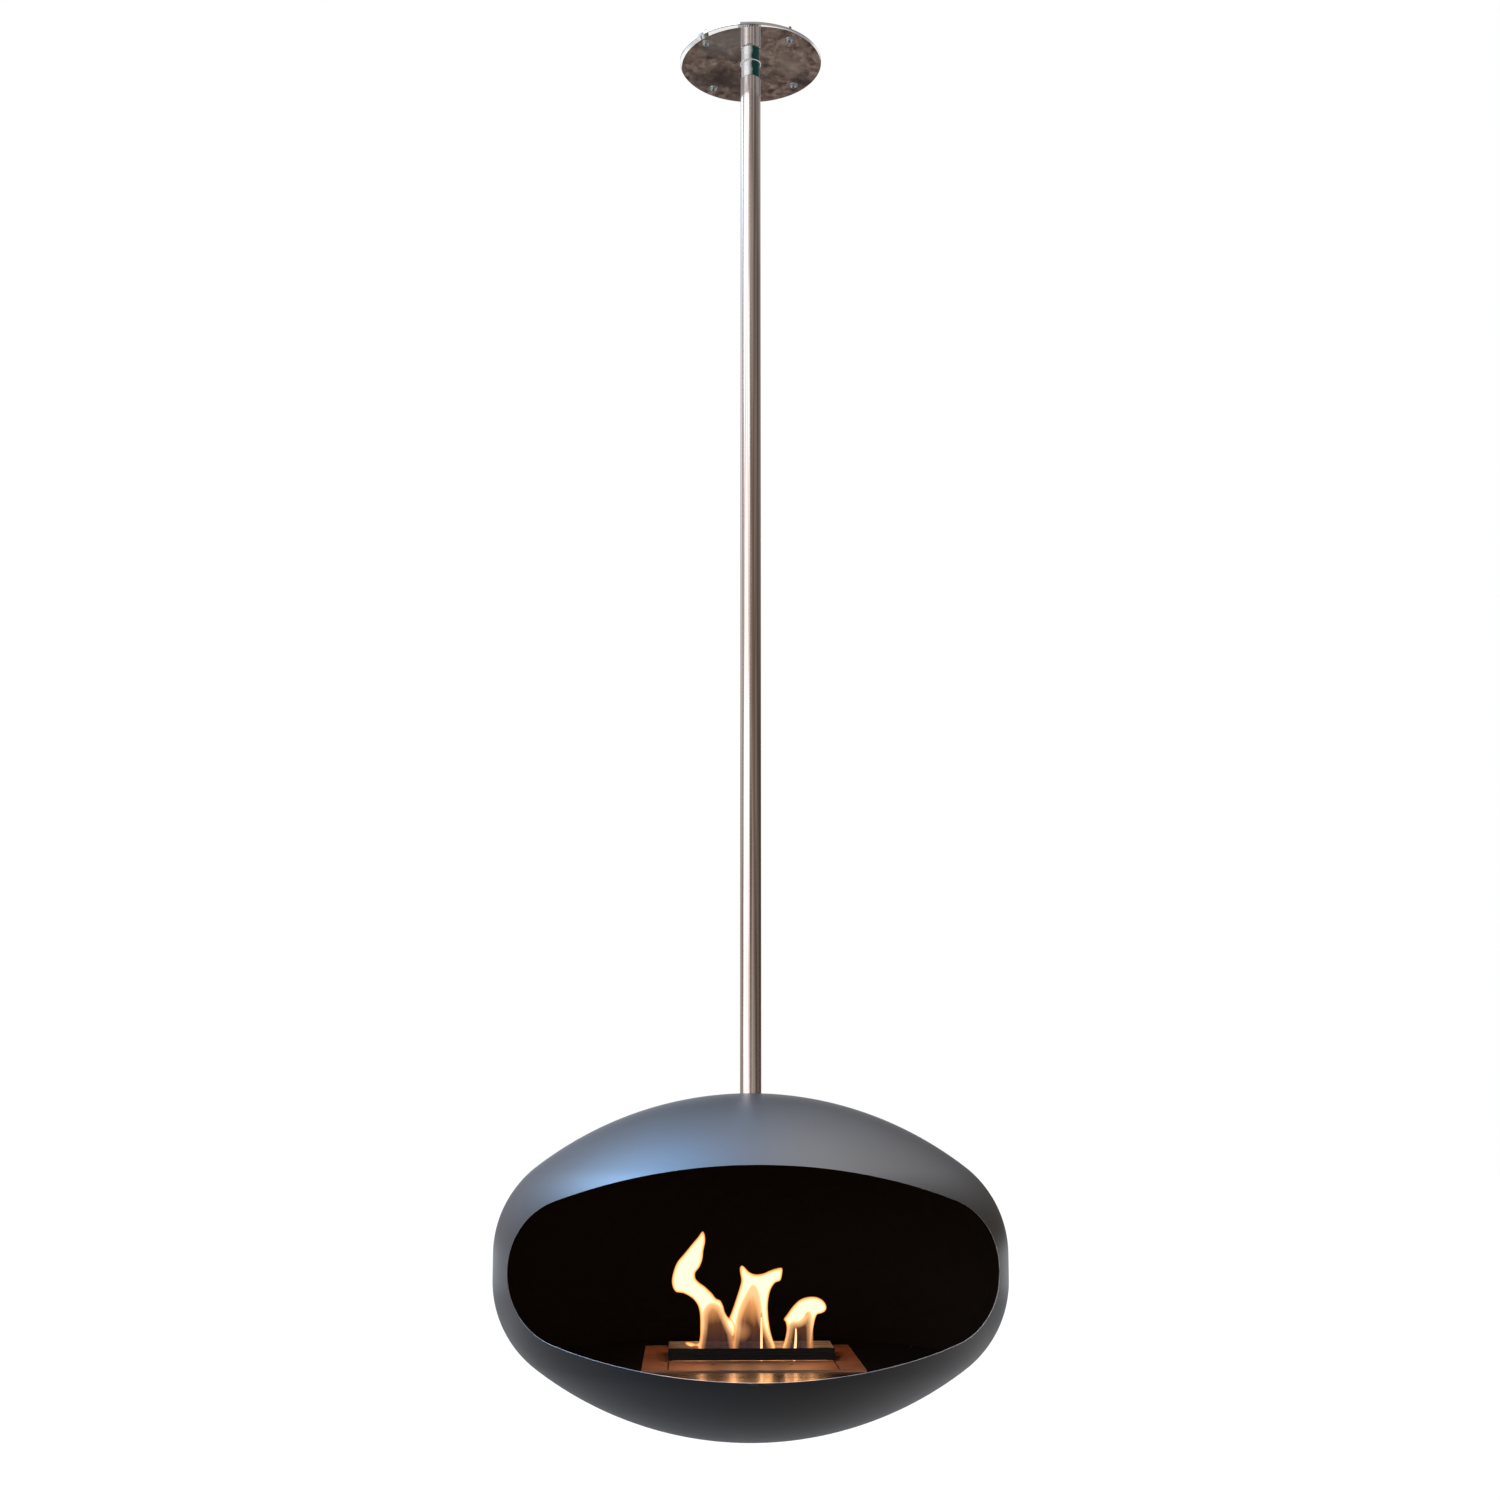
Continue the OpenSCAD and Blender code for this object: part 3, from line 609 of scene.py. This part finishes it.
# ---- Flames ----
# Outlines in millimetres: x from the pole's axis and z from the body's widest line. Their points
# were picked by eye in the photo, and a scratch program turned most of them from pixels to
# millimetres, which were rounded here. Each outline is closed, with its feet in the burner.
FEET = -168
LEFT_FLAME = [
    (-91, FEET), (-91, -146), (-97, -143), (-105, -144), (-114, -139), (-112, -136), (-102, -137),
    (-95, -139), (-89, -133), (-88, -109), (-89, -87), (-93, -72), (-103, -60), (-118, -52),
    (-132, -49), (-138, -36), (-137, -20), (-130, 0), (-118, 15), (-104, 32), (-92, 46), (-85, 55),
    (-81, 50), (-80, 38), (-83, 22), (-85, 6), (-90, -7), (-97, -16), (-97, -26), (-91, -33),
    (-80, -41), (-68, -52), (-61, -61), (-53, -65), (-48, -74), (-45, -85), (-39, -94), (-30, -98),
    (-26, -112), (-31, -127), (-41, -112), (-48, -94), (-56, -79), (-65, -73), (-74, -76),
    (-80, -88), (-81, -110), (-83, -132), (-85, -146), (-85, FEET)]
MIDDLE_FLAME = [
    (-30, FEET), (-30, -147), (-29, -128), (-29, -113), (-36, -104), (-38, -99), (-31, -80),
    (-24, -60), (-17, -38), (-16, -28), (-18, -17), (-18, -8), (-14, -5), (-9, -9), (-2, -16),
    (8, -20), (22, -19), (37, -13), (52, -9), (57, -11), (56, -22), (53, -31), (44, -35),
    (37, -45), (33, -58), (31, -75), (32, -95), (35, -115), (39, -131), (44, -145), (44, FEET),
    (37, FEET), (36, -145), (28, -128), (22, -109), (17, -88), (13, -66), (9, -50), (5, -44),
    (0, -50), (-7, -62), (-14, -75), (-20, -93), (-23, -112), (-25, -130), (-26, -147),
    (-26, FEET)]
RIGHT_FLAME = [
    (56, FEET), (56, -146), (61, -131), (64, -115), (62, -102), (59, -97), (66, -87), (75, -75),
    (87, -64), (101, -59), (116, -59), (128, -65), (134, -75), (132, -83), (125, -87), (118, -89),
    (114, -97), (111, -110), (108, -128), (106, -147), (106, FEET), (101, FEET), (102, -146),
    (104, -126), (105, -108), (104, -93), (101, -87), (94, -98), (84, -104), (76, -104),
    (70, -108), (68, -122), (65, -137), (61, -148), (61, FEET)]
MIDDLE_LEG = [(18, -88), (17, -115), (17, FEET), (21, FEET), (21, -115), (20, -88)]
RIGHT_LEG = [
    (78, -108), (77, -126), (75, -147), (74, FEET), (78, FEET), (80, -146), (81, -126), (80, -108)]
LEFT_VEIL = [
    (-88, FEET), (-87, -110), (-85, -84), (-76, -69), (-64, -66), (-52, -73), (-42, -92),
    (-34, -110), (-29, -124), (-29, FEET)]
MIDDLE_VEIL = [
    (-28, FEET), (-28, -112), (-25, -90), (-16, -66), (-5, -45), (5, -34), (15, -46), (20, -68),
    (27, -106), (37, -132), (40, FEET)]
RIGHT_VEIL = [
    (58, FEET), (62, -124), (66, -106), (74, -99), (84, -98), (94, -91), (103, -80), (109, -92),
    (110, -112), (105, FEET)]

HAZE_SPACING = 4 * MM
FIRE_SPACING = 2.5 * MM
# how strongly the flames light things, and the share of it that the camera sees
FLAME_POWER = 8.0
FLAME_SEEN = 0.42
# steps of the smooth outline between two of its points, and how near the outline a spot counts as
# lying on it
LINE_STEPS = 4
ON_LINE = 0.01 * MM


def rounded(points, steps):
    """A closed smooth line through the points, as 2-D vectors in metres."""
    line = []
    count = len(points)
    for i in range(count):
        a, b, c, d = (Vector(points[(i + k) % count]) for k in (-1, 0, 1, 2))
        for s in range(steps):
            t = s / steps
            spot = (2 * b + (c - a) * t + (2 * a - 5 * b + 4 * c - d) * t * t
                    + (3 * b - 3 * c + d - a) * t ** 3) / 2
            line.append(spot * MM)
    return line


def edge_distance(spot, line):
    """Distance from a spot to the closed line."""
    best = 1.0
    for a, b in zip(line, line[1:] + line[:1]):
        along = b - a
        t = max(0.0, min(1.0, (spot - a).dot(along) / max(along.length_squared, 1e-12)))
        best = min(best, (spot - a - along * t).length)
    return best


def inside(spot, line):
    """True if the spot lies inside the closed line."""
    odd = False
    for a, b in zip(line, line[1:] + line[:1]):
        if (a.y > spot.y) != (b.y > spot.y):
            if spot.x < a.x + (b.x - a.x) * (spot.y - a.y) / (b.y - a.y):
                odd = not odd
    return odd


def filling(line, spacing):
    """Spots of a square grid inside the closed line and clear of it."""
    low = Vector((min(p.x for p in line), min(p.y for p in line)))
    high = Vector((max(p.x for p in line), max(p.y for p in line)))
    spots = []
    x = low.x + spacing
    while x < high.x:
        z = low.y + spacing
        while z < high.y:
            spot = Vector((x, z))
            if inside(spot, line) and edge_distance(spot, line) > 0.5 * spacing:
                spots.append(spot)
            z += spacing
        x += spacing
    return spots


def flame(name, points, y, thickness, reach, finish, spacing=FIRE_SPACING):
    """A tongue of fire: an outline filled and swollen to its thickness at a reach from its edge."""
    line = rounded(points, LINE_STEPS)
    spots = line + filling(line, spacing)
    edge = [list(range(len(line)))]
    inside_only, merge = 1, 1e-7
    flat, _, triangles, _, _, _ = delaunay_2d_cdt(spots, [], edge, inside_only, merge)
    mesh = bmesh.new()
    core = mesh.verts.layers.float.new("core")
    front, back = [], []
    for spot in flat:
        distance = edge_distance(spot, line)
        share = min(distance / reach, 1.0)
        swell = thickness * math.sqrt(1 - (1 - share) ** 2) if distance > ON_LINE else 0.0
        front.append(mesh.verts.new((spot.x, y - swell, BODY_Z + spot.y)))
        front[-1][core] = share
        back.append(front[-1])
        if swell:
            back[-1] = mesh.verts.new((spot.x, y + swell, BODY_Z + spot.y))
            back[-1][core] = share
    for corners in triangles:
        for side in (front, back):
            ring = [side[i] for i in corners]
            if mesh.faces.get(ring) is None:
                mesh.faces.new(ring).smooth = True
    piece = new_piece(name, mesh, finish)
    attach(piece, "hanging_fire")
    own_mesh(piece)


def fire():
    """Glowing gas, cream inside and orange at its edge, that lights more than it seems to."""
    tree = material("flame_glow", Base_Color=BLACK, Roughness=1.0, Specular_IOR_Level=0.0)
    core = tree.add("Attribute", attribute_name="core").outputs["Fac"]
    wisps = tree.noise(60, (1, 1, 0.35), detail=3, distortion=0.6)
    glow = tree.math("ADD", core, tree.centred(wisps, 0.25))
    colour = tree.ramp(glow, (0.0, (0.22, 0.06, 0.012)), (0.3, (0.52, 0.24, 0.085)),
                       (0.8, (0.80, 0.39, 0.23)))
    seen = tree.add("LightPath").outputs["Is Camera Ray"]
    power = tree.math("MULTIPLY", tree.ramp(seen, (0.0, 1.0), (1.0, FLAME_SEEN)), FLAME_POWER)
    return tree.dress({"Emission Color": tree.mix(seen, (1.0, 0.47, 0.19), colour),
                       "Emission Strength": power})


def veil():
    """Thin gas between a flame's legs: cream at its edge, then orange, and dark and clear below."""
    tree = material("flame_veil", Base_Color=BLACK, Roughness=1.0, Specular_IOR_Level=0.0,
                    Emission_Strength=1.0)
    low, high = BODY_Z - 150 * MM, BODY_Z - 45 * MM
    blob_middle = (-17 * MM, FLAME_Y, BODY_Z - 117 * MM)
    blob_reach = 30 * MM
    place = tree.place()
    rise = tree.add("MapRange", {"Value": tree.axis(place, "Z"), "From Min": low, "From Max": high})
    wisps = tree.noise(70, (1, 1, 0.12), detail=4)
    share = tree.math("ADD", rise.outputs["Result"], tree.centred(wisps, 0.5))
    core = tree.add("Attribute", attribute_name="core").outputs["Fac"]
    inner = tree.ramp(share, (0.05, (0.030, 0.018, 0.024)), (0.45, (0.13, 0.046, 0.020)),
                      (0.8, (0.85, 0.36, 0.12)), (1.0, (1.3, 0.75, 0.38)))
    off_blob = tree.math("DIVIDE", tree.between("DISTANCE", place, blob_middle), blob_reach)
    inner = tree.mix(tree.ramp(off_blob, (0.2, 0.7), (0.7, 0.0)), inner, (0.75, 0.32, 0.13))
    edge = tree.ramp(share, (0.0, (0.75, 0.30, 0.11)), (0.4, (1.3, 0.70, 0.30)))
    cover = tree.ramp(share, (0.1, 0.6), (0.6, 0.95))
    fade = tree.ramp(core, (0.0, 0.0), (0.15, 0.6), (0.5, 1.0))
    return tree.dress({"Emission Color": tree.mix(tree.ramp(core, (0.15, 0.0), (0.65, 1.0)),
                                                  edge, inner),
                       "Alpha": tree.math("MULTIPLY", fade, cover)})


glow, haze = fire(), veil()
flame("flame_left", LEFT_FLAME, FLAME_Y, 9 * MM, 8 * MM, glow)
flame("flame_middle", MIDDLE_FLAME, FLAME_Y + 6 * MM, 10 * MM, 8 * MM, glow)
flame("flame_right", RIGHT_FLAME, FLAME_Y - 4 * MM, 9 * MM, 8 * MM, glow)
flame("flame_leg_middle", MIDDLE_LEG, FLAME_Y - 13 * MM, 1.5 * MM, 1 * MM, glow)
flame("flame_leg_right", RIGHT_LEG, FLAME_Y - 21 * MM, 1.5 * MM, 1 * MM, glow)
flame("flame_veil_left", LEFT_VEIL, FLAME_Y - 12 * MM, 2 * MM, 20 * MM, haze, HAZE_SPACING)
flame("flame_veil_middle", MIDDLE_VEIL, FLAME_Y - 7 * MM, 2 * MM, 20 * MM, haze, HAZE_SPACING)
flame("flame_veil_right", RIGHT_VEIL, FLAME_Y - 15 * MM, 2 * MM, 20 * MM, haze, HAZE_SPACING)

# ---- Studio ----
FLOOR_DROP = 0.42
FLOOR_Z = BODY_Z - HALF_H - FLOOR_DROP
FLOOR_SIZE = 60
FLOOR_SEEN = (0.88, 0.88, 0.88)
PALE = (0.95, 0.95, 0.95)
# rings of tone that polished metal shows in the floor, about this middle
RINGS_MIDDLE = (-0.8, -1.3, 0.0)
RINGS_REACH = 30.0
# one bright spot among them, to the left of the camera
BRIGHT_MIDDLE = (-4.2, -2.2, 0.0)
BRIGHT_REACH = 10.0
# the patch of brown stone behind the object that the ceiling plate mirrors
STONE_MIDDLE = (0.17, 4.99, 0.0)
STONE_SPREAD = 2.475
# (middle, reach, colour, strength) of the blotches on the stone, before it is spread
BLOTCHES = (((-0.035, 0.07, 0.0), 0.055, (0.030, 0.016, 0.011), 0.9),
            ((-0.03, -0.06, 0.0), 0.07, (0.17, 0.145, 0.13), 0.5),
            ((0.09, 0.015, 0.0), 0.045, (0.20, 0.155, 0.12), 0.6))


def stony(tree, place):
    """Brown mottling with blotches a few centimetres wide, over the given place."""
    warp = tree.add("TexNoise", {"Vector": place, "Scale": 22.0, "Detail": 3.0}).outputs["Color"]
    bent = tree.vector("ADD", place, tree.scaled(warp, 0.03))
    clouds = tree.noise(24, detail=6, distortion=0.6, place=bent)
    stone = tree.noise(60, (1, 1.3, 1), detail=9, distortion=0.9, place=bent)
    tint = tree.noise(30, (1.6, 1, 1), detail=4, place=place)
    brown = tree.ramp(stone, (0.36, (0.035, 0.020, 0.014)), (0.46, (0.100, 0.066, 0.050)),
                      (0.55, (0.130, 0.094, 0.074)), (0.64, (0.21, 0.165, 0.135)))
    shade = tree.ramp(clouds, (0.38, 0.55), (0.5, 0.95), (0.62, 1.25))
    mottle = tree.vector("MULTIPLY", brown, shade)
    mottle = tree.mix(tree.ramp(tint, (0.45, 0.0), (0.7, 0.4)), mottle, (0.105, 0.050, 0.032))
    for middle, reach, colour, strength in BLOTCHES:
        near = tree.math("DIVIDE", tree.between("DISTANCE", bent, middle), reach)
        mottle = tree.mix(tree.ramp(near, (0.35, strength), (1.0, 0.0)), mottle, colour)
    return mottle


def ground(tree, place):
    """The tones that metal shows in the floor, and how much of them is the stony patch."""
    out = tree.math("DIVIDE", tree.between("DISTANCE", place, RINGS_MIDDLE), RINGS_REACH)
    tone = tree.ramp(out, (0.037, (0.015, 0.014, 0.013)), (0.107, (0.52, 0.49, 0.46)),
                     (0.147, (0.25, 0.24, 0.23)), (0.233, (0.25, 0.24, 0.23)),
                     (0.3, (0.9, 0.9, 0.9)), (0.5, (0.9, 0.9, 0.9)), (0.75, (0.55, 0.54, 0.53)))
    aside = tree.math("DIVIDE", tree.between("DISTANCE", place, BRIGHT_MIDDLE), BRIGHT_REACH)
    tone = tree.mix(tree.ramp(aside, (0.20, 1.0), (0.32, 0.0)), tone, PALE)
    behind = tree.scaled(tree.vector("SUBTRACT", place, STONE_MIDDLE), 1 / STONE_SPREAD)
    off_stone = tree.between("DISTANCE", place, STONE_MIDDLE)
    stone = tree.ramp(tree.math("DIVIDE", off_stone, STONE_SPREAD), (0.18, 1.0), (0.32, 0.0))
    return tree.mix(stone, tone, stony(tree, behind)), stone


def floor():
    """A pale floor that glows white to the camera and keeps its tones for reflections."""
    bpy.ops.mesh.primitive_plane_add(size=FLOOR_SIZE, location=(0, 0, FLOOR_Z))
    plane = bpy.context.object
    plane.name = "studio_floor"
    tree = material("studio_floor_pale", Roughness=0.8, Specular_IOR_Level=0.1,
                    Emission_Strength=1.0)
    path = tree.add("LightPath").outputs
    tone, stone = ground(tree, tree.place())
    # as metal shows it, no other light falls on the stony patch, so that its brown stays dark
    unlit = tree.math("MULTIPLY", stone, path["Is Glossy Ray"])
    seen = tree.math("ADD", path["Is Camera Ray"], path["Is Transmission Ray"], clamp=True)
    mirrored = tree.mix(path["Is Glossy Ray"], BLACK, tone)
    # the floor is clear from below, so that views from under it show the object
    under = tree.add("NewGeometry").outputs["Backfacing"]
    tree.dress({"Base Color": tree.mix(unlit, (0.10, 0.09, 0.08), BLACK),
                "Emission Color": tree.mix(seen, mirrored, FLOOR_SEEN),
                "Alpha": tree.math("SUBTRACT", 1.0, under)})
    plane.data.materials.append(tree.owner)


# (aim, narrowness, light) of each soft lamp in the room
LAMPS = (((-0.53, 0.215, 0.82), 40.0, (8.4, 15.5, 26.0)),
         ((-0.26, 0.24, 0.935), 40.0, (1.0, 3.6, 8.0)),
         ((-0.68, 0.32, 0.66), 30.0, (1.6, 2.2, 3.0)),
         ((-0.66, 0.68, 0.33), 14.0, (0.42, 0.43, 0.46)),
         ((0.18, 0.20, 0.96), 14.0, (4.2, 3.9, 3.7)),
         ((-0.45, 0.55, 0.70), 30.0, (0.9, 0.9, 1.0)),
         ((0.52, 0.55, 0.65), 20.0, (0.75, 0.68, 0.64)))
DARK_SIDE = (0.82, 0.57, 0.0)
ABOVE = (0, 0, 1)
BACK_WALL = (0, 1, 0.05)
WINDOW = (-0.760, -0.616, 0.208)


def world():
    """White where the camera looks, and for light a plain room: cool above left, warm right."""
    scene = bpy.context.scene
    scene.world = scene.world or bpy.data.worlds.new("studio")
    tree = Tree(scene.world)
    tree.nodes.clear()
    direction = tree.add("TexCoord").outputs["Generated"]

    def toward(aim):
        """How nearly a direction points at an aim, from -1 to 1."""
        return tree.between("DOT_PRODUCT", direction, Vector(aim).normalized())

    def lit(colour, share, light):
        """The colour with a share of a light's colour added to it."""
        return tree.vector("ADD", colour, tree.scaled(light, share))

    room = tree.ramp(tree.step(toward(DARK_SIDE), -0.7, 1.0), (0.0, (0.40, 0.36, 0.33)),
                     (0.45, (0.33, 0.275, 0.235)), (1.0, (0.12, 0.10, 0.08)))
    room = tree.mix(tree.step(toward(ABOVE), 0.3, 0.7), room, (0.30, 0.31, 0.33))
    room = tree.mix(tree.step(toward(BACK_WALL), 0.965, 0.985), room, PALE)
    for aim, narrowness, light in LAMPS:
        share = tree.math("POWER", tree.math("MAXIMUM", toward(aim), 0.0), narrowness)
        room = lit(room, share, light)
    room = lit(room, tree.step(toward(WINDOW), 0.790, 0.83), (1.7, 1.75, 1.85))
    path = tree.add("LightPath").outputs
    seen = tree.math("ADD", path["Is Camera Ray"], path["Is Transmission Ray"], clamp=True)
    background = tree.add("Background", {"Color": tree.mix(seen, room, WHITE)})
    output = tree.add("OutputWorld")
    tree.put(background.outputs[0], output.inputs["Surface"])


floor()
world()
bpy.context.scene.view_settings.view_transform = "Standard"
